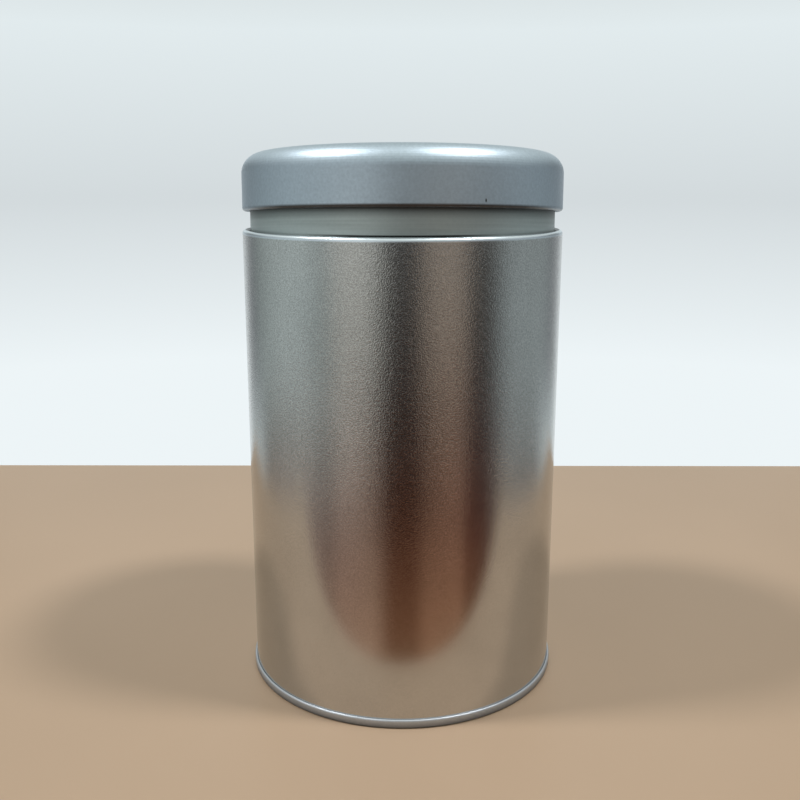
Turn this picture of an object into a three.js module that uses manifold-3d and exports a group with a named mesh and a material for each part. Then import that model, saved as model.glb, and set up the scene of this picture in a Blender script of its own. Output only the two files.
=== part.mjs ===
// A round tin with a plug lid, which stands partly drawn out and rocked back in the mouth.
// Millimetres, +Z up, standing on Z = 0 with the can's axis on the Z axis and its front towards -Y.

import * as THREE from 'three';
import { mergeVertices } from 'three/addons/utils/BufferGeometryUtils.js';
import Module from 'manifold-3d';

// Tinplate
const SHEET = 0.18; // gauge of every piece
const CURL_TURN = 300; // degrees that a rolled edge is turned through

// Can body
const CAN_DIAMETER = 85; // outside of the wall
const CAN_HEIGHT = 123.3; // table to the top of the rolled rim
const RIM_CURL = 1.9; // outside diameter of the rim's roll
const WELD_WIDTH = 0.9; // side seam, up the back of the wall
const WELD_RISE = 0.1; // side seam above the wall
const WELD_SETBACK = 0.5; // side seam's ends short of the rim and the base seam

// Base and its double seam
const SEAM_HEIGHT = 2.4; // foot to the top of the fold
const SEAM_CLEARANCE = 0.03; // between the folded layers
const FOOT_FLAT = 0.16; // width of the flat ring that the can stands on
const HEEL_BEND = 0.18; // bend on the inner side of that ring
const BASE_RECESS = 3.2; // table to the underside of the panel's outer ring
const BASE_BEND = 0.8; // bends of the recessed panel
const PANEL_DIAMETER = 62; // raised middle of the panel
const PANEL_STEP = 0.7; // rise of the middle above the outer ring

// Lid cap
const LID_INSET = 0.1; // skirt inside the line of the wall
const LID_HEIGHT = 14.7;
const LID_SHOULDER = 5.2; // outside radius of the shoulder
const HEM_CURL = 1.8; // outside diameter of the skirt's roll

// Lid plug
const PLUG_CLEARANCE = 0.2; // plug inside the rolled rim
const PLUG_DEPTH = 12; // below the skirt's roll
const PLUG_CORNER = 1.6; // outside radius of the cup's bottom edge
const FLANGE_BEND = 0.4; // bends at the flange
const SEAT_CLEARANCE = 0.06; // plug against the inside of the cap

// How the lid is held in the photographed pose
const LID_TILT = 3.2; // degrees, front edge up
const LID_LIFT = 4.3; // top of the rim to the middle of the skirt's foot

// Facets
const ROUND_SIDES = 52; // a multiple of four, the same for every round piece
const BEND_SAG = 0.034; // chord error on bends

const wallRadius = CAN_DIAMETER / 2;
const wallLine = wallRadius - SHEET / 2;
const rimRadius = RIM_CURL / 2;
const lidRadius = wallRadius - LID_INSET;
const hemRadius = HEM_CURL / 2;
const plugRadius = wallRadius - RIM_CURL - PLUG_CLEARANCE;
const layer = SHEET + SEAM_CLEARANCE; // pitch of the folded layers
const footBend = 4 * layer - HEEL_BEND - FOOT_FLAT; // bend on the outer side of the foot
const hookMiddle = SHEET / 2 + footBend; // the body's hook turns in the middle of that bend

const wasm = await Module();
wasm.setup();

// Arc from a start angle through a signed turn, with even steps to the quarter turn, set by the chord error.
function arc(x, y, radius, start, turn) {
  const quarter = Math.PI / 2;
  const step = quarter / Math.ceil(quarter / (2 * Math.acos(1 - BEND_SAG / radius)));
  const curve = new THREE.EllipseCurve(x, y, radius, radius, start, start + turn, turn < 0);
  return curve.getPoints(Math.round(Math.abs(turn) / step));
}

// Open line through corners given as [radius, height, bend], with each bend rounded.
function bentLine(corners) {
  const points = corners.map(([x, y]) => new THREE.Vector2(x, y));
  const line = [points[0]];
  for (let i = 1; i < points.length - 1; i += 1) {
    const bend = corners[i][2];
    const before = points[i].clone().sub(points[i - 1]).normalize();
    const after = points[i + 1].clone().sub(points[i]).normalize();
    const turn = Math.atan2(before.cross(after), before.dot(after));
    const side = Math.sign(turn);
    const start = points[i].clone().addScaledVector(before, -bend * Math.tan(Math.abs(turn) / 2));
    const normal = new THREE.Vector2(-before.y, before.x).multiplyScalar(side);
    const centre = start.clone().addScaledVector(normal, bend);
    const from = Math.atan2(start.y - centre.y, start.x - centre.x);
    line.push(...arc(centre.x, centre.y, bend, from, turn));
  }
  line.push(points.at(-1));
  return line;
}

// Rolled edge that goes on from a wall standing on its right-hand side.
function curl(wall, middle, roll, way) {
  const turn = way * THREE.MathUtils.degToRad(CURL_TURN);
  return arc(wall - roll, middle, roll - SHEET / 2, 0, turn);
}

// Both faces of a sheet whose middle follows a line, as one loop from end to end.
function sheetSection(line) {
  const tiny = SHEET / 1000;
  const points = line.filter((p, i) => i === 0 || p.distanceTo(line[i - 1]) > tiny);
  const left = [];
  const right = [];
  points.forEach((point, i) => {
    const before = point.clone().sub(points[Math.max(i - 1, 0)]).normalize();
    const after = points[Math.min(i + 1, points.length - 1)].clone().sub(point).normalize();
    const along = before.clone().add(after).normalize();
    const reach = SHEET / 2 / Math.max(along.dot(before), along.dot(after));
    const across = new THREE.Vector2(-along.y, along.x).multiplyScalar(reach);
    left.push(point.clone().add(across));
    right.unshift(point.clone().sub(across));
  });
  return [...left, ...right];
}

// Solid of revolution of a section that starts and ends on the axis, or closes on itself.
function revolve(section) {
  const onAxis = Math.abs(section[0].x) < SHEET / 1000;
  const loop = onAxis ? section : [...section, section[0].clone()];
  if (onAxis) {
    loop[0].x = 0;
    loop.at(-1).x = 0;
  }
  const area = THREE.ShapeUtils.area(section);
  const geometry = new THREE.LatheGeometry(area < 0 ? loop.reverse() : loop, ROUND_SIDES);
  geometry.rotateX(Math.PI / 2);
  geometry.deleteAttribute('normal');
  geometry.deleteAttribute('uv');
  return mergeVertices(geometry);
}

function toManifold(geometry) {
  const vertProperties = new Float32Array(geometry.attributes.position.array);
  const corners = geometry.index.array;
  const kept = [];
  for (let i = 0; i < corners.length; i += 3) {
    const [a, b, c] = corners.slice(i, i + 3);
    if (a !== b && b !== c && c !== a) kept.push(a, b, c);
  }
  return new wasm.Manifold(new wasm.Mesh({ numProp: 3, vertProperties, triVerts: new Uint32Array(kept) }));
}

function fromManifold(solid) {
  const mesh = solid.getMesh();
  const geometry = new THREE.BufferGeometry();
  geometry.setAttribute('position', new THREE.BufferAttribute(new Float32Array(mesh.vertProperties), 3));
  geometry.setIndex(new THREE.BufferAttribute(new Uint32Array(mesh.triVerts), 1));
  return geometry;
}

// Wall with its hook at the foot, its rolled rim and the welded lap up the back.
function bodyShell() {
  const hookLine = wallLine + 2 * layer;
  const hookTop = SEAM_HEIGHT - SHEET / 2 - layer;
  const foldBottom = hookMiddle - layer;
  const rimMiddle = CAN_HEIGHT - rimRadius;
  const wall = bentLine([
    [hookLine, hookTop],
    [hookLine, foldBottom, layer],
    [wallLine, foldBottom, layer],
    [wallLine, rimMiddle],
  ]);
  const shell = revolve(sheetSection([...wall, ...curl(wallRadius, rimMiddle, rimRadius, 1)]));

  const weldBottom = SEAM_HEIGHT + WELD_SETBACK;
  const weldTop = CAN_HEIGHT - RIM_CURL - WELD_SETBACK;
  const weldDepth = SHEET / 2 + WELD_RISE;
  const weld = new THREE.BoxGeometry(WELD_WIDTH, weldDepth, weldTop - weldBottom);
  weld.translate(0, wallLine + weldDepth / 2, (weldTop + weldBottom) / 2);
  weld.deleteAttribute('normal');
  weld.deleteAttribute('uv');
  return fromManifold(toManifold(shell).add(toManifold(mergeVertices(weld))));
}

// Recessed panel, with its edge folded down, under, up and in around the body's hook.
function bottomEnd() {
  const insideLine = wallLine - layer;
  const hookLine = wallLine + layer;
  const outsideLine = wallLine + 3 * layer;
  const footLine = SHEET / 2;
  const foldTop = SEAM_HEIGHT - SHEET / 2;
  const ringLine = BASE_RECESS + SHEET / 2;
  const panelRadius = PANEL_DIAMETER / 2;
  return revolve(sheetSection(bentLine([
    [0, ringLine + PANEL_STEP],
    [panelRadius, ringLine + PANEL_STEP, BASE_BEND],
    [panelRadius + PANEL_STEP, ringLine, BASE_BEND],
    [insideLine, ringLine, BASE_BEND],
    [insideLine, footLine, HEEL_BEND],
    [outsideLine, footLine, footBend],
    [outsideLine, foldTop, layer],
    [hookLine, foldTop, layer],
    [hookLine, hookMiddle],
  ])));
}

// Drawn cap, with the foot of its skirt at height 0.
function lidCap() {
  const skirtLine = lidRadius - SHEET / 2;
  const topLine = LID_HEIGHT - SHEET / 2;
  const cap = bentLine([
    [0, topLine],
    [skirtLine, topLine, LID_SHOULDER - SHEET / 2],
    [skirtLine, hemRadius],
  ]);
  return revolve(sheetSection([...cap, ...curl(lidRadius, hemRadius, hemRadius, -1)]));
}

// Inner cup: its flange lies on the skirt's roll, and its brim stands in the skirt up to the shoulder.
function lidPlug() {
  const plugLine = plugRadius - SHEET / 2;
  const bottomLine = SHEET / 2 - PLUG_DEPTH;
  const flangeLine = HEM_CURL + SEAT_CLEARANCE + SHEET / 2;
  const brimLine = lidRadius - SHEET - SEAT_CLEARANCE - SHEET / 2;
  return revolve(sheetSection(bentLine([
    [0, bottomLine],
    [plugLine, bottomLine, PLUG_CORNER - SHEET / 2],
    [plugLine, flangeLine, FLANGE_BEND],
    [brimLine, flangeLine, FLANGE_BEND],
    [brimLine, LID_HEIGHT - LID_SHOULDER],
  ])));
}

function piece(name, geometry, color, roughness, metalness) {
  const material = new THREE.MeshStandardMaterial({ color, roughness, metalness });
  const mesh = new THREE.Mesh(geometry, material);
  mesh.name = name;
  return mesh;
}

const can = new THREE.Group();
can.add(piece('body_shell', bodyShell(), 0xb4b8b6, 0.32, 0.95));
can.add(piece('bottom_end', bottomEnd(), 0xb9bdbd, 0.35, 0.95));

// The lid is held by its plug, whose axis leans through the middle of the mouth at the rim's roll.
const tilt = THREE.MathUtils.degToRad(LID_TILT);

const lid = new THREE.Group();
lid.add(piece('lid_cap', lidCap(), 0x9aa4aa, 0.45, 0.85));
lid.add(piece('lid_plug', lidPlug(), 0x9ea3a1, 0.4, 0.9));
lid.rotation.x = -tilt;
lid.position.set(0, (rimRadius + LID_LIFT) * Math.tan(tilt), CAN_HEIGHT + LID_LIFT);

const tin = new THREE.Group();
tin.add(can, lid);

export default tin;
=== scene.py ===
import itertools
import math

import bpy
from mathutils import Matrix, Vector


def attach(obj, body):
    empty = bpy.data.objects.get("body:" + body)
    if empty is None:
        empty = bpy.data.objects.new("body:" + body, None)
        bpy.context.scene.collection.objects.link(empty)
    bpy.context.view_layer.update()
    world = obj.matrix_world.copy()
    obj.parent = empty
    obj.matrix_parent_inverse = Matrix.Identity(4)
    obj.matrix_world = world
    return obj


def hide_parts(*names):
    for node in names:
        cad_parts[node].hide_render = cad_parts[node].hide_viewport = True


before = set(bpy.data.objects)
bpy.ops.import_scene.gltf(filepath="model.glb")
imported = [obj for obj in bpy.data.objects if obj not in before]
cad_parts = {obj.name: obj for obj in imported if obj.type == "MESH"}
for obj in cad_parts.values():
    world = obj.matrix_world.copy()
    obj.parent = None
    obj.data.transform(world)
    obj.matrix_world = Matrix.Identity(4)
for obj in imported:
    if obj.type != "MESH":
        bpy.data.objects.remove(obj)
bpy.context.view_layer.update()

# Sizes in millimetres, as in the part's source
MM = 0.001
SHEET = 0.18
CURL_TURN = math.radians(300)
CAN_DIAMETER = 85
CAN_HEIGHT = 123.3
RIM_CURL = 1.9
WELD_WIDTH = 0.9
WELD_RISE = 0.1
WELD_SETBACK = 0.5
SEAM_HEIGHT = 2.4
SEAM_CLEARANCE = 0.03
FOOT_FLAT = 0.16
HEEL_BEND = 0.18
FOLD_BEND = 0.34  # outer bend at the top of the fold, rounder than in the source
BASE_RECESS = 3.2
BASE_BEND = 0.8
PANEL_DIAMETER = 62
PANEL_STEP = 0.7
LID_INSET = 0.1
LID_HEIGHT = 14.7
LID_SHOULDER = 5.2
HEM_CURL = 1.8
PLUG_CLEARANCE = 0.2
PLUG_DEPTH = 12
PLUG_CORNER = 1.6
FLANGE_BEND = 0.4
SEAT_CLEARANCE = 0.06
LID_TILT = math.radians(3.2)
LID_LIFT = 4.3

# A small nick in the skirt of the lid
NICK_TURN = math.radians(26.8)  # to the right of the front
NICK_HEIGHT = 1.7
NICK_SIZE = 0.3
NICK_SHAPE = (1, 1, 0.5)  # twice as tall as it is wide

# Fineness of the round meshes
SIDES = 288
BEND_STEP = math.radians(7)
FEWEST_STEPS = 4  # in a bend
ROW = 5.0  # longest straight stretch between two rows
GUARD = 0.12  # row kept this close to each end of a straight stretch
SHORT = 5 * GUARD  # a stretch up to this length gets no rows
TINY = SHEET / 1000  # points closer than this, to each other or to the axis, are one
WELD_COLUMNS = (-0.5, -0.44, -0.36, -0.2, 0.0, 0.2, 0.36, 0.44, 0.5)  # across the side seam, in widths
WELD_END = 0.25  # rows this far in from the side seam's ends
WELD_MARGIN = 1.5  # the even columns keep out of this many half widths
SHARP = math.radians(40)  # edges with a greater angle stay sharp

wall_radius = CAN_DIAMETER / 2
wall_line = wall_radius - SHEET / 2
rim_radius = RIM_CURL / 2
rim_middle = CAN_HEIGHT - rim_radius
lid_radius = wall_radius - LID_INSET
hem_radius = HEM_CURL / 2
plug_radius = wall_radius - RIM_CURL - PLUG_CLEARANCE
layer = SHEET + SEAM_CLEARANCE
foot_bend = 4 * layer - HEEL_BEND - FOOT_FLAT
hook_middle = SHEET / 2 + foot_bend
weld_bottom = SEAM_HEIGHT + WELD_SETBACK
weld_top = CAN_HEIGHT - RIM_CURL - WELD_SETBACK

lid_foot = Vector((0, (rim_radius + LID_LIFT) * math.tan(LID_TILT), CAN_HEIGHT + LID_LIFT)) * MM
lid_place = Matrix.Translation(lid_foot) @ Matrix.Rotation(-LID_TILT, 4, "X")


# Sections of the sheet

def arc(x, y, radius, start, turn):
    count = max(FEWEST_STEPS, math.ceil(abs(turn) / BEND_STEP))
    angles = [start + turn * i / count for i in range(count + 1)]
    return [Vector((x + radius * math.cos(a), y + radius * math.sin(a))) for a in angles]


def bent_line(corners):
    """Open line through corners given as (radius, height, bend), with each bend rounded."""
    points = [Vector(corner[:2]) for corner in corners]
    line = [points[0]]
    for i in range(1, len(points) - 1):
        bend = corners[i][2]
        before = (points[i] - points[i - 1]).normalized()
        after = (points[i + 1] - points[i]).normalized()
        turn = math.atan2(before.x * after.y - before.y * after.x, before.dot(after))
        start = points[i] - before * bend * math.tan(abs(turn) / 2)
        normal = Vector((-before.y, before.x)) * math.copysign(1, turn)
        centre = start + normal * bend
        away = start - centre
        line += arc(centre.x, centre.y, bend, math.atan2(away.y, away.x), turn)
    return line + [points[-1]]


def curl(wall, middle, roll, way):
    """Rolled edge that goes on from a wall standing on its right-hand side."""
    return arc(wall - roll, middle, roll - SHEET / 2, 0, way * CURL_TURN)


def with_rows(line):
    """Adds rows along the straight stretches, close to their ends too, so that the shading stays true."""
    points = [p for i, p in enumerate(line) if i == 0 or (p - line[i - 1]).length > TINY]
    rows = [points[0]]
    for a, b in zip(points, points[1:]):
        length = (b - a).length
        if length > SHORT:
            inner = length - 2 * GUARD
            count = max(1, math.ceil(inner / ROW))
            rows += [a + (b - a) * (GUARD + inner * k / count) / length for k in range(count + 1)]
        rows.append(b)
    return rows


def sheet_sides(line):
    """The faces of a sheet whose middle follows a line: the one on its left, and the one on its right."""
    points = with_rows(line)
    left, right = [], []
    for i, point in enumerate(points):
        before = (point - points[max(i - 1, 0)]).normalized()
        after = (points[min(i + 1, len(points) - 1)] - point).normalized()
        along = (before + after).normalized()
        reach = SHEET / 2 / max(along.dot(before), along.dot(after))
        across = Vector((-along.y, along.x)) * reach
        left.append(point + across)
        right.append(point - across)
    return left, right


# Meshes

def no_rise(point, turn):
    return 0.0


EVEN_TURNS = [2 * math.pi * s / SIDES for s in range(SIDES)]


def lathe(line, turns=EVEN_TURNS, rise=no_rise):
    """Points and faces of a turned sheet, and the side of the sheet of each face, 0 left and 1 right.

    Turns start at the back. The rise moves points of the right-hand side out from the axis.
    """
    left, right = sheet_sides(line)
    loop = left + right[::-1]
    closed = left[0].x > SHEET
    half = len(left)
    count = len(turns)
    points, rings = [], []
    for k, p in enumerate(loop):
        if not closed and p.x < TINY:
            rings.append([len(points)] * count)
            points.append((0, 0, p.y * MM))
            continue
        rings.append(list(range(len(points), len(points) + count)))
        for turn in turns:
            radius = p.x + (rise(p, turn) if k >= half else 0.0)
            points.append((radius * math.sin(turn) * MM, radius * math.cos(turn) * MM, p.y * MM))
    faces, sides = [], []
    for k in range(len(loop) if closed else len(loop) - 1):
        low, high = rings[k], rings[(k + 1) % len(loop)]
        for s in range(count):
            t = (s + 1) % count
            faces.append(list(dict.fromkeys((low[s], high[s], high[t], low[t]))))
            sides.append(0 if k < half - 1 else 1)
    area = sum(a.x * b.y - b.x * a.y for a, b in zip(loop, loop[1:] + loop[:1]))
    if area > 0:
        faces = [face[::-1] for face in faces]
    return points, faces, sides


def add_mesh(name, points, faces, slots, materials, place=Matrix.Identity(4)):
    mesh = bpy.data.meshes.new(name)
    mesh.from_pydata([place @ Vector(p) for p in points], [], faces)
    for material in materials:
        mesh.materials.append(material)
    mesh.polygons.foreach_set("material_index", slots)
    mesh.polygons.foreach_set("use_smooth", [True] * len(faces))
    mesh.set_sharp_from_angle(angle=SHARP)
    mesh.update()
    piece = bpy.data.objects.new(name, mesh)
    bpy.context.scene.collection.objects.link(piece)
    return piece


# Material nodes

NOISE_LOW = 0.3  # most of a noise lies between these
NOISE_HIGH = 0.7
NOISE_MIDDLE = 0.5
MORE_DETAIL = 3.0  # for clouds and lines


def new_material(name):
    material = bpy.data.materials.new(name)
    material.use_nodes = True
    tree = material.node_tree
    tree.nodes.clear()
    output = tree.nodes.new("ShaderNodeOutputMaterial")
    shader = tree.nodes.new("ShaderNodeBsdfPrincipled")
    tree.links.new(shader.outputs[0], output.inputs["Surface"])
    return material, tree, shader


def dress(tree, shader, metallic, colour, roughness, normal):
    shader.inputs["Metallic"].default_value = metallic
    tree.links.new(colour, shader.inputs["Base Color"])
    tree.links.new(roughness, shader.inputs["Roughness"])
    tree.links.new(normal, shader.inputs["Normal"])


def add_node(tree, kind, inputs=None, **settings):
    node = tree.nodes.new(kind)
    for key, value in settings.items():
        setattr(node, key, value)
    for key, value in (inputs or {}).items():
        if isinstance(value, bpy.types.NodeSocket):
            tree.links.new(value, node.inputs[key])
        else:
            node.inputs[key].default_value = value
    return node


def object_space(tree):
    return add_node(tree, "ShaderNodeTexCoord").outputs["Object"]


def lid_space(tree):
    """Place on the lid, measured from the middle of its foot, with Z along its axis."""
    place = add_node(tree, "ShaderNodeMapping", {"Vector": object_space(tree)}, vector_type="TEXTURE")
    place.inputs["Location"].default_value = lid_foot
    place.inputs["Rotation"].default_value = (-LID_TILT, 0, 0)
    return place.outputs[0]


def math_node(tree, operation, a, b=0.0):
    return add_node(tree, "ShaderNodeMath", {0: a, 1: b}, operation=operation).outputs[0]


def times(tree, a, b):
    return math_node(tree, "MULTIPLY", a, b)


def vector_node(tree, operation, a, b=(0, 0, 0), output="Vector"):
    return add_node(tree, "ShaderNodeVectorMath", {0: a, 1: b}, operation=operation).outputs[output]


def height_of(tree, space):
    return add_node(tree, "ShaderNodeSeparateXYZ", {0: space}).outputs["Z"]


def turn_of(tree, space):
    """Angle round the Z axis from straight in front, positive to the right."""
    axes = add_node(tree, "ShaderNodeSeparateXYZ", {0: space})
    front = times(tree, axes.outputs["Y"], -1.0)
    return math_node(tree, "ARCTAN2", axes.outputs["X"], front)


def noise(tree, space, scale, detail=2.0):
    inputs = {"Vector": space, "Scale": scale, "Detail": detail}
    return add_node(tree, "ShaderNodeTexNoise", inputs).outputs["Fac"]


def ramp(tree, value, stops):
    node = add_node(tree, "ShaderNodeValToRGB", {0: value})
    elements = node.color_ramp.elements
    while len(elements) < len(stops):
        elements.new(1.0)
    for element, (place, colour) in zip(elements, stops):
        element.position = place
        element.color = (*colour, 1)
    return node.outputs[0]


def remap(tree, value, first, last, start=NOISE_LOW, end=NOISE_HIGH):
    """Goes from the first result to the last as the value goes from start to end."""
    inputs = {"Value": value, "From Min": start, "From Max": end, "To Min": first, "To Max": last}
    return add_node(tree, "ShaderNodeMapRange", inputs).outputs[0]


def zone_mask(tree, value, zone, below=0.0, above=1.0):
    """Changes over a zone given in millimetres, and is even outside it."""
    return remap(tree, value, below, above, zone[0] * MM, zone[1] * MM)


def weighted(tree, first, second, share):
    """Sum of two tones, the first with the given share."""
    return math_node(tree, "ADD", times(tree, first, share), times(tree, second, 1 - share))


def bump(tree, height, strength, distance, below=None):
    inputs = {"Height": height, "Strength": strength, "Distance": distance}
    if below is not None:
        inputs["Normal"] = below
    return add_node(tree, "ShaderNodeBump", inputs).outputs[0]


def blend(tree, share, first, second, kind="MIX"):
    inputs = {0: share, 6: first, 7: second}
    return add_node(tree, "ShaderNodeMix", inputs, data_type="RGBA", blend_type=kind).outputs[2]


# Finishes

# Grain and clouds, in cells per metre
FROST = 3100
FINE = 1500
WALL_CLOUD = 60
PLATE_CLOUD = 50
LID_CLOUD = 45
NECK_LINES = (25, 25, 1300)  # long round the neck, and fine up it

# Tones by noise, and single tones
WALL_TONES = [(0.32, (0.43, 0.435, 0.43)), (0.68, (0.69, 0.695, 0.69))]
LID_TONES = [(NOISE_LOW, (0.455, 0.54, 0.615)), (NOISE_HIGH, (0.55, 0.645, 0.73))]
NECK_TONES = [(NOISE_LOW, (0.435, 0.505, 0.506)), (NOISE_HIGH, (0.535, 0.605, 0.603))]
BASE_TONES = [(NOISE_LOW, (0.5, 0.535, 0.585)), (NOISE_HIGH, (0.59, 0.625, 0.675))]
INSIDE_TONES = [(NOISE_LOW, (0.58, 0.59, 0.58)), (NOISE_HIGH, (0.68, 0.69, 0.68))]
# Tone of the worn rim, made brighter as a painted highlight
RIM_WORN_HIGHLIGHT = (0.84, 0.93, 1.0, 1)
DEEP = (0.012, 0.012, 0.012, 1)

# Zones in millimetres: heights on the can or above the foot of the lid's skirt, and one of radii
SPECKLE_RISE = (20, 80)  # the speckle grows up the wall
RELIEF_RISE = (30, 85)  # and so does the bump
RIM_EDGE = (rim_middle - 0.3, rim_middle)  # the frosting gives way to the worn rim, brightened as a painted highlight
RIM_FOLD_SHADE = (wall_radius - 0.95, wall_radius - 0.7)  # radii at which the rim's roll turns in and gets painted shade
HEM_UNDER_SHADE = (0.6, 1.15)  # painted shade on the underside of the skirt's roll
NECK_SHADE = (-2.4, 0.1)  # painted shade on the neck below the hem
MOUTH_SHADE_FOOT = (CAN_HEIGHT - 0.4, CAN_HEIGHT - 0.15)  # lower edge of the painted shade line on the neck just above the rim
MOUTH_SHADE_TOP = (CAN_HEIGHT + 0.25, CAN_HEIGHT + 0.5)  # its upper edge
BASE_FOOT_SHADE = (0.3, 2.1)  # painted shade on the base ring towards the table

# Strength of two lines of painted shade, on the neck above the rim and under the hem, by the angle from the
# front, in degrees
MOUTH_SHADE_SHARES = ((18, 1), (36, 0.12), (74, 0.12), (82, 1), (100, 1), (116, 0.2))
HEM_SHADE_SHARES = ((42, 1), (66, 0.3))


def darkened(tree, colour, mask, share):
    """Colour that goes dark where the mask is 1: painted shade, as in a crease that light hardly reaches,
    or a dark mark such as the nick.
    """
    return blend(tree, times(tree, mask, share), colour, DEEP)


def round_mask(tree, space, shares):
    """Share by the angle from the front, the same to the left and to the right."""
    turn = math_node(tree, "ABSOLUTE", turn_of(tree, space))
    stops = [(angle / 180, (share,) * 3) for angle, share in shares]
    return ramp(tree, math_node(tree, "DIVIDE", turn, math.pi), stops)


def frosted_tinplate():
    """Outside of the wall: bright tinplate with a fine frosted grain, calmer towards the foot.

    The rim has no grain, and a brighter tone that is partly wear and partly a painted highlight; painted
    shade darkens it where its roll turns in.
    """
    material, tree, shader = new_material("frosted_tinplate")
    space = object_space(tree)
    height = height_of(tree, space)
    grain = noise(tree, space, FROST, detail=1.0)
    cloud = noise(tree, space, WALL_CLOUD, MORE_DETAIL)
    strong = zone_mask(tree, height, SPECKLE_RISE, below=0.3)
    speckle = times(tree, math_node(tree, "SUBTRACT", grain, NOISE_MIDDLE), strong)
    tone = weighted(tree, math_node(tree, "ADD", speckle, NOISE_MIDDLE), cloud, share=0.8)
    # The worn rim loses the grain and takes a brighter tone, partly wear and partly a painted highlight
    worn_and_highlight = zone_mask(tree, height, RIM_EDGE)
    # Painted shade on the rim's roll where it turns in towards the neck
    radius = vector_node(tree, "LENGTH", vector_node(tree, "MULTIPLY", space, (1, 1, 0)), output="Value")
    fold_shade = zone_mask(tree, radius, RIM_FOLD_SHADE, below=1.0, above=0.0)
    bright = blend(tree, worn_and_highlight, ramp(tree, tone, WALL_TONES), RIM_WORN_HIGHLIGHT)
    colour = darkened(tree, bright, fold_shade, share=0.85)
    roughness = math_node(tree, "ADD", remap(tree, grain, 0.16, 0.2), times(tree, worn_and_highlight, 0.14))
    relief = zone_mask(tree, height, RELIEF_RISE, below=0.05)
    strength = times(tree, relief, math_node(tree, "SUBTRACT", 1.0, worn_and_highlight))
    normal = bump(tree, grain, strength, distance=0.05 * MM)
    dress(tree, shader, 1.0, colour, roughness, normal)
    return material


def silver_lacquer():
    """Outside of the lid: satin silver lacquer with fine flakes, a nick and painted shade on the underside
    of the hem.
    """
    material, tree, shader = new_material("silver_lacquer")
    space = lid_space(tree)
    flake = noise(tree, space, FINE)
    cloud = noise(tree, space, LID_CLOUD, MORE_DETAIL)
    tone = weighted(tree, flake, cloud, share=0.7)
    nick = Vector((lid_radius * math.sin(NICK_TURN), -lid_radius * math.cos(NICK_TURN), NICK_HEIGHT)) * MM
    away = vector_node(tree, "MULTIPLY", vector_node(tree, "SUBTRACT", space, nick), NICK_SHAPE)
    reach = vector_node(tree, "LENGTH", away, output="Value")
    mark = zone_mask(tree, reach, (NICK_SIZE / 3, NICK_SIZE), below=1.0, above=0.0)
    # Painted shade on the underside of the hem, strongest towards the front
    low = zone_mask(tree, height_of(tree, space), HEM_UNDER_SHADE, below=1.0, above=0.0)
    under_shade = times(tree, low, round_mask(tree, space, HEM_SHADE_SHARES))
    marked = darkened(tree, ramp(tree, tone, LID_TONES), mark, share=1.0)
    colour = darkened(tree, marked, under_shade, share=0.8)
    roughness = remap(tree, tone, 0.47, 0.42)
    surface = bump(tree, flake, strength=0.3, distance=0.02 * MM)
    normal = bump(tree, times(tree, mark, -1.0), strength=0.5, distance=0.1 * MM, below=surface)
    dress(tree, shader, 1.0, colour, roughness, normal)
    return material


def neck_tinplate():
    """Outside of the plug: pale satin plate with fine lines round it, with painted shade below the hem and
    in a thin line just above the rim.
    """
    material, tree, shader = new_material("neck_tinplate")
    space = lid_space(tree)
    stretched = vector_node(tree, "MULTIPLY", space, NECK_LINES)
    lines = noise(tree, stretched, 1.0, MORE_DETAIL)
    tone = weighted(tree, lines, noise(tree, space, FINE), share=0.75)
    # Painted shade on the neck below the hem
    under_shade = zone_mask(tree, height_of(tree, space), NECK_SHADE)
    level = height_of(tree, object_space(tree))
    # Painted shade in a thin line on the neck just above the rim, its strength by the angle from the front
    mouth_shade_top = zone_mask(tree, level, MOUTH_SHADE_TOP, below=1.0, above=0.0)
    mouth_shade_foot = zone_mask(tree, level, MOUTH_SHADE_FOOT)
    mouth_shade = times(tree, times(tree, mouth_shade_top, mouth_shade_foot), round_mask(tree, space, MOUTH_SHADE_SHARES))
    mouth_shaded = darkened(tree, ramp(tree, tone, NECK_TONES), mouth_shade, share=0.95)
    colour = darkened(tree, mouth_shaded, under_shade, share=0.8)
    roughness = remap(tree, tone, 0.5, 0.42)
    normal = bump(tree, lines, strength=0.3, distance=0.02 * MM)
    dress(tree, shader, 0.85, colour, roughness, normal)
    return material


def satin_plate(tree):
    """Tone and bump of satin plate."""
    space = object_space(tree)
    fine = noise(tree, space, FINE)
    cloud = noise(tree, space, PLATE_CLOUD, MORE_DETAIL)
    return weighted(tree, fine, cloud, share=0.5), bump(tree, fine, strength=0.2, distance=0.01 * MM)


def base_tinplate():
    """Outside of the base: satin plate, with painted shade making it darker towards the foot."""
    material, tree, shader = new_material("base_tinplate")
    tone, normal = satin_plate(tree)
    # Painted shade on the base ring towards the table
    foot = zone_mask(tree, height_of(tree, object_space(tree)), BASE_FOOT_SHADE, below=1.0, above=0.0)
    colour = darkened(tree, ramp(tree, tone, BASE_TONES), foot, share=0.75)
    dress(tree, shader, 0.6, colour, remap(tree, tone, 0.44, 0.38), normal)
    return material


def plain_tinplate():
    """Insides: bare satin plate with an even tone."""
    material, tree, shader = new_material("plain_tinplate")
    tone, normal = satin_plate(tree)
    dress(tree, shader, 1.0, ramp(tree, tone, INSIDE_TONES), remap(tree, tone, 0.36, 0.28), normal)
    return material


inside = plain_tinplate()


# Pieces

def weld_rise(point, turn):
    """Height of the welded lap above the wall, with a rounded crown."""
    across = math.remainder(turn, 2 * math.pi) * wall_radius / WELD_WIDTH
    on_wall = weld_bottom < point.y < weld_top
    return WELD_RISE * (1 - (2 * across) ** 4) if on_wall and abs(across) < 0.5 else 0.0


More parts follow.
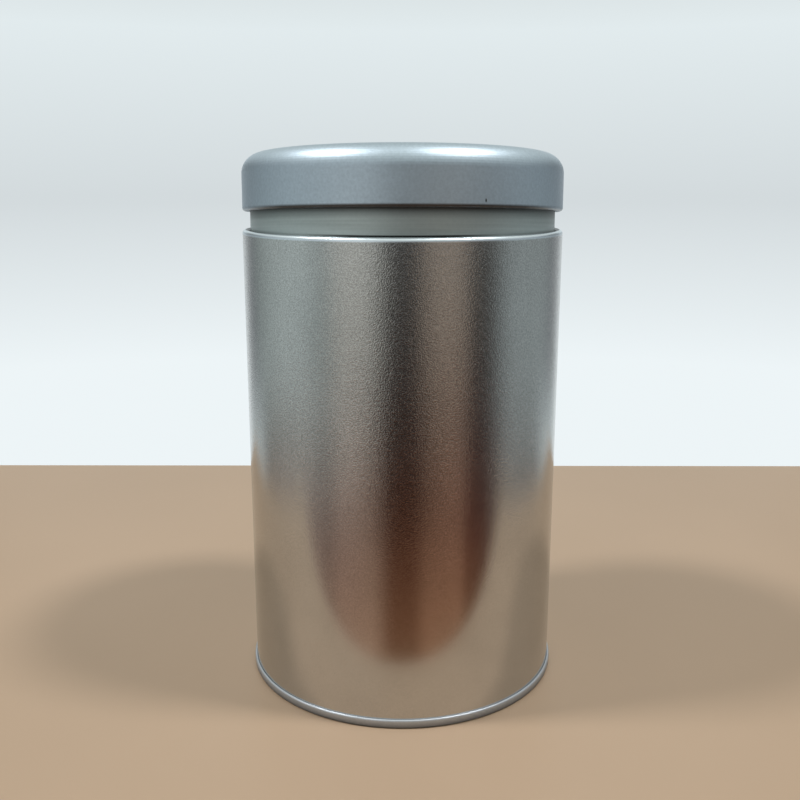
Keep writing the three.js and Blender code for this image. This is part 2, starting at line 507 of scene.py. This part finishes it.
def add_body_shell():
    hook_line = wall_line + 2 * layer
    fold_bottom = hook_middle - layer
    line = bent_line([
        (hook_line, SEAM_HEIGHT - SHEET - FOLD_BEND),
        (hook_line, fold_bottom, layer),
        (wall_line, fold_bottom, layer),
        (wall_line, weld_bottom, 0),
        (wall_line, weld_bottom + WELD_END, 0),
        (wall_line, weld_top - WELD_END, 0),
        (wall_line, weld_top, 0),
        (wall_line, rim_middle),
    ]) + curl(wall_radius, rim_middle, rim_radius, 1)
    weld_turns = [c * WELD_WIDTH / wall_radius for c in WELD_COLUMNS]
    kept_out = WELD_MARGIN * weld_turns[-1]
    others = [t for t in EVEN_TURNS if abs(math.remainder(t, 2 * math.pi)) > kept_out]
    points, faces, sides = lathe(line, weld_turns + others, weld_rise)
    piece = add_mesh("tin_body_shell", points, faces, sides, [inside, frosted_tinplate()])
    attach(piece, "can")
    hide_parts("body_shell")


def add_bottom_end():
    inside_line = wall_line - layer
    hook_line = wall_line + layer
    outside_line = wall_line + 3 * layer
    fold_top = SEAM_HEIGHT - SHEET / 2
    ring_line = BASE_RECESS + SHEET / 2
    panel_radius = PANEL_DIAMETER / 2
    points, faces, sides = lathe(bent_line([
        (0, ring_line + PANEL_STEP),
        (panel_radius, ring_line + PANEL_STEP, BASE_BEND),
        (panel_radius + PANEL_STEP, ring_line, BASE_BEND),
        (inside_line, ring_line, BASE_BEND),
        (inside_line, SHEET / 2, HEEL_BEND),
        (outside_line, SHEET / 2, foot_bend),
        (outside_line, fold_top, FOLD_BEND),
        (hook_line, fold_top, 2 * layer - FOLD_BEND),
        (hook_line, hook_middle),
    ]))
    piece = add_mesh("tin_bottom_end", points, faces, sides, [inside, base_tinplate()])
    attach(piece, "can")
    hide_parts("bottom_end")


def add_lid_cap():
    skirt_line = lid_radius - SHEET / 2
    top_line = LID_HEIGHT - SHEET / 2
    line = bent_line([
        (0, top_line),
        (skirt_line, top_line, LID_SHOULDER - SHEET / 2),
        (skirt_line, hem_radius),
    ]) + curl(lid_radius, hem_radius, hem_radius, -1)
    points, faces, sides = lathe(line)
    piece = add_mesh("tin_lid_cap", points, faces, sides, [silver_lacquer(), inside], lid_place)
    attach(piece, "lid")
    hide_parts("lid_cap")


def add_lid_plug():
    plug_line = plug_radius - SHEET / 2
    bottom_line = SHEET / 2 - PLUG_DEPTH
    flange_line = HEM_CURL + SEAT_CLEARANCE + SHEET / 2
    brim_line = lid_radius - SHEET - SEAT_CLEARANCE - SHEET / 2
    points, faces, sides = lathe(bent_line([
        (0, bottom_line),
        (plug_line, bottom_line, PLUG_CORNER - SHEET / 2),
        (plug_line, flange_line, FLANGE_BEND),
        (brim_line, flange_line, FLANGE_BEND),
        (brim_line, LID_HEIGHT - LID_SHOULDER),
    ]))
    piece = add_mesh("tin_lid_plug", points, faces, sides, [inside, neck_tinplate()], lid_place)
    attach(piece, "lid")
    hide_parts("lid_plug")


add_body_shell()
add_bottom_end()
add_lid_cap()
add_lid_plug()


# Stage, in metres

TABLE_LOW = (-0.2, -0.076, -0.02)
TABLE_HIGH = (0.2, 0.185, 0)
BOX_FACES = [(0, 1, 3, 2), (4, 6, 7, 5), (0, 4, 5, 1), (2, 3, 7, 6), (0, 2, 6, 4), (1, 5, 7, 3)]
FLOOR_FINE = 900  # cells per metre
FLOOR_CLOUD = 9
FLOOR_TONES = [(NOISE_LOW, (0.53, 0.38, 0.26)), (NOISE_HIGH, (0.56, 0.402, 0.276))]


def floor_material():
    material, tree, shader = new_material("pale_floor")
    space = object_space(tree)
    fine = noise(tree, space, FLOOR_FINE)
    colour = ramp(tree, noise(tree, space, FLOOR_CLOUD, MORE_DETAIL), FLOOR_TONES)
    normal = bump(tree, fine, strength=0.02, distance=0.05 * MM)
    dress(tree, shader, 0.0, colour, remap(tree, fine, 0.38, 0.42), normal)
    return material


def add_table():
    corners = list(itertools.product(*zip(TABLE_LOW, TABLE_HIGH)))
    table = add_mesh("stage_table", corners, BOX_FACES, [0] * len(BOX_FACES), [floor_material()])


# Soft panels round the table, with gaps between them, by the angle from straight in front of the can
COOL = (0.49, 0.56, 0.555)
DIM = (0.32, 0.37, 0.365)
PLAIN = (0.53, 0.54, 0.505)
WARM = (0.34, 0.285, 0.235)
SIDE = (0.33, 0.375, 0.38)
EDGE = (0.5, 0.53, 0.54)
SHADE = (0.205, 0.225, 0.238)
GAP = (0.065, 0.062, 0.058)
BRIGHT = (0.79, 0.83, 0.84)
FAIR = (0.485, 0.515, 0.525)
SOFT = (0.35, 0.37, 0.378)
DARK = (0.14, 0.146, 0.144)
PANELS = (
    # angle in degrees, tone of the panels, tone of the row above them
    (-148, EDGE, DARK),
    (-131, SHADE, DARK),
    (-120, DIM, SHADE),
    (-92, COOL, SOFT),
    (-72, COOL, FAIR),
    (-54, DIM, FAIR),
    (-44, PLAIN, BRIGHT),
    (-21, PLAIN, BRIGHT),
    (-8, GAP, SHADE),
    (8, GAP, SHADE),
    (18, WARM, SHADE),
    (43, WARM, SOFT),
    (47, GAP, SOFT),
    (61, GAP, SOFT),
    (79, SIDE, SOFT),
    (118, SIDE, SHADE),
    (128, SHADE, DARK),
    (148, EDGE, DARK),
)
UPPER_ROW = (0.13, 0.25)  # heights over which the row above takes over
PANEL_RADIUS = 1.1
PANEL_LOW = -0.55
PANEL_HIGH = 0.5
PANEL_REACH = math.radians(148)
PANEL_STEPS = 120
STAND_TURN = (math.radians(14), math.radians(36))  # half-width of the dark stand under the camera
STAND_TOP = (-0.18, -0.1)
STAND_FOOT = (-0.42, -0.3)
STAND_SHARE = 0.72  # how dark the stand is
GROUND = (
    # height, what is left of the tones, warm glow added
    (-0.55, (0.5, 0.36, 0.28), (0.19, 0.08, 0.035)),
    (-0.44, (0.5, 0.36, 0.28), (0.13, 0.04, 0.012)),
    (-0.32, (0.48, 0.34, 0.28), (0.06, 0.006, 0.003)),
    (-0.2, (0.6, 0.45, 0.4), (0, 0, 0)),
    (-0.1, (1, 1, 1), (0, 0, 0)),
)
GROUND_LEFT = (math.radians(-40), math.radians(-10))  # the ground lies lower towards both sides
GROUND_RIGHT = (math.radians(45), math.radians(85))
LEFT_DROP = 0.06
RIGHT_DROP = 0.1
BACKDROP = (0.62, 0.69, 0.7, 1)  # pale, low down at both sides, over the edges of the table
BACKDROP_TURN = (math.radians(112), math.radians(126))
BACKDROP_TOP = (-0.22, -0.12)
BLACK = (0, 0, 0, 1)


def panel_material():
    material = bpy.data.materials.new("panel_tones")
    material.use_nodes = True
    tree = material.node_tree
    tree.nodes.clear()
    place = add_node(tree, "ShaderNodeNewGeometry").outputs["Position"]
    height = height_of(tree, place)
    turn = turn_of(tree, place)
    around = remap(tree, turn, 0.0, 1.0, -math.pi, math.pi)
    lower = ramp(tree, around, [(0.5 + angle / 360, tone) for angle, tone, above in PANELS])
    upper = ramp(tree, around, [(0.5 + angle / 360, above) for angle, tone, above in PANELS])
    tones = blend(tree, remap(tree, height, 0.0, 1.0, *UPPER_ROW), lower, upper)

    to_left = remap(tree, turn, LEFT_DROP, 0.0, *GROUND_LEFT)
    to_right = remap(tree, turn, 0.0, RIGHT_DROP, *GROUND_RIGHT)
    raised = math_node(tree, "ADD", height, math_node(tree, "ADD", to_left, to_right))
    rise = remap(tree, raised, 0.0, 1.0, PANEL_LOW, 0.0)
    share = ramp(tree, rise, [(1 - level / PANEL_LOW, kept) for level, kept, added in GROUND])
    glow = ramp(tree, rise, [(1 - level / PANEL_LOW, added) for level, kept, added in GROUND])
    colour = blend(tree, 1.0, blend(tree, 1.0, tones, share, "MULTIPLY"), glow, "ADD")

    aside = math_node(tree, "ABSOLUTE", turn)
    outer = remap(tree, aside, 0.0, 1.0, *BACKDROP_TURN)
    low = remap(tree, height, 1.0, 0.0, *BACKDROP_TOP)
    colour = blend(tree, times(tree, outer, low), colour, BACKDROP)

    middle = remap(tree, aside, 1.0, 0.0, *STAND_TURN)
    top = remap(tree, height, 1.0, 0.0, *STAND_TOP)
    foot = remap(tree, height, 0.0, 1.0, *STAND_FOOT)
    stand = times(tree, times(tree, middle, top), times(tree, foot, STAND_SHARE))
    light = add_node(tree, "ShaderNodeEmission", {"Color": blend(tree, stand, colour, BLACK)})
    output = add_node(tree, "ShaderNodeOutputMaterial")
    tree.links.new(light.outputs[0], output.inputs["Surface"])
    return material


def add_panels():
    """Panels in a curve round the front and the sides, with the ground between them."""
    points, faces = [], []
    for s in range(PANEL_STEPS + 1):
        turn = PANEL_REACH * (2 * s / PANEL_STEPS - 1)
        for height in (PANEL_LOW, PANEL_HIGH):
            points.append((PANEL_RADIUS * math.sin(turn), -PANEL_RADIUS * math.cos(turn), height))
    for s in range(PANEL_STEPS):
        faces.append([2 * s, 2 * s + 1, 2 * s + 3, 2 * s + 2])
    faces.append([2 * s for s in range(PANEL_STEPS + 1)])
    panels = add_mesh("stage_panels", points, faces, [0] * len(faces), [panel_material()])
    panels.visible_camera = False


LAMPS = {"lamp_left": (-0.57, -0.11, 1.03), "lamp_right": (0.46, -0.13, 1.05)}
LAMP_SIZE = 0.16
LAMP_POWER = 4.6


def add_lamps():
    for name, place in LAMPS.items():
        data = bpy.data.lights.new(name, "AREA")
        data.shape = "DISK"
        data.size = LAMP_SIZE
        data.energy = LAMP_POWER
        lamp = bpy.data.objects.new(name, data)
        lamp.location = place
        lamp.rotation_euler = (-Vector(place)).to_track_quat("-Z", "Y").to_euler()
        bpy.context.scene.collection.objects.link(lamp)


SKY_TONES = [
    # from straight down at 0 to straight up at 1
    (0.41, (0.85, 0.91, 0.93)),
    (0.49, (0.65, 0.7, 0.72)),
    (0.57, (0.76, 0.83, 0.85)),
    (0.64, (0.56, 0.6, 0.59)),
    (0.85, (0.57, 0.6, 0.55)),
    (1.0, (0.61, 0.64, 0.58)),
]
SKY_LIGHT = 0.48  # strength as a light, where the camera and reflections see strength 1


def add_world():
    world = bpy.data.worlds.new("studio")
    bpy.context.scene.world = world
    world.use_nodes = True
    tree = world.node_tree
    tree.nodes.clear()
    height = height_of(tree, add_node(tree, "ShaderNodeTexCoord").outputs["Generated"])
    sky = ramp(tree, remap(tree, height, 0.0, 1.0, -1.0, 1.0), SKY_TONES)
    rays = add_node(tree, "ShaderNodeLightPath")
    shown = math_node(tree, "ADD", rays.outputs["Is Camera Ray"], rays.outputs["Is Glossy Ray"])
    shown = math_node(tree, "ADD", shown, rays.outputs["Is Transmission Ray"])
    strength = remap(tree, shown, SKY_LIGHT, 1.0, 0.0, 1.0)
    background = add_node(tree, "ShaderNodeBackground", {"Color": sky, "Strength": strength})
    output = add_node(tree, "ShaderNodeOutputWorld")
    tree.links.new(background.outputs[0], output.inputs["Surface"])


def add_camera():
    camera = bpy.data.objects.new("camera", bpy.data.cameras.new("camera"))
    camera.data.sensor_width = 36
    camera.data.lens = 42.83
    camera.data.clip_start = 0.01
    camera.location = (0, -0.25978, 0.13626)
    camera.rotation_euler = [math.radians(a) for a in (76.914, -0.031, 0.149)]
    bpy.context.scene.collection.objects.link(camera)
    bpy.context.scene.camera = camera


add_table()
add_panels()
add_lamps()
add_world()
add_camera()
bpy.context.scene.view_settings.view_transform = "Standard"
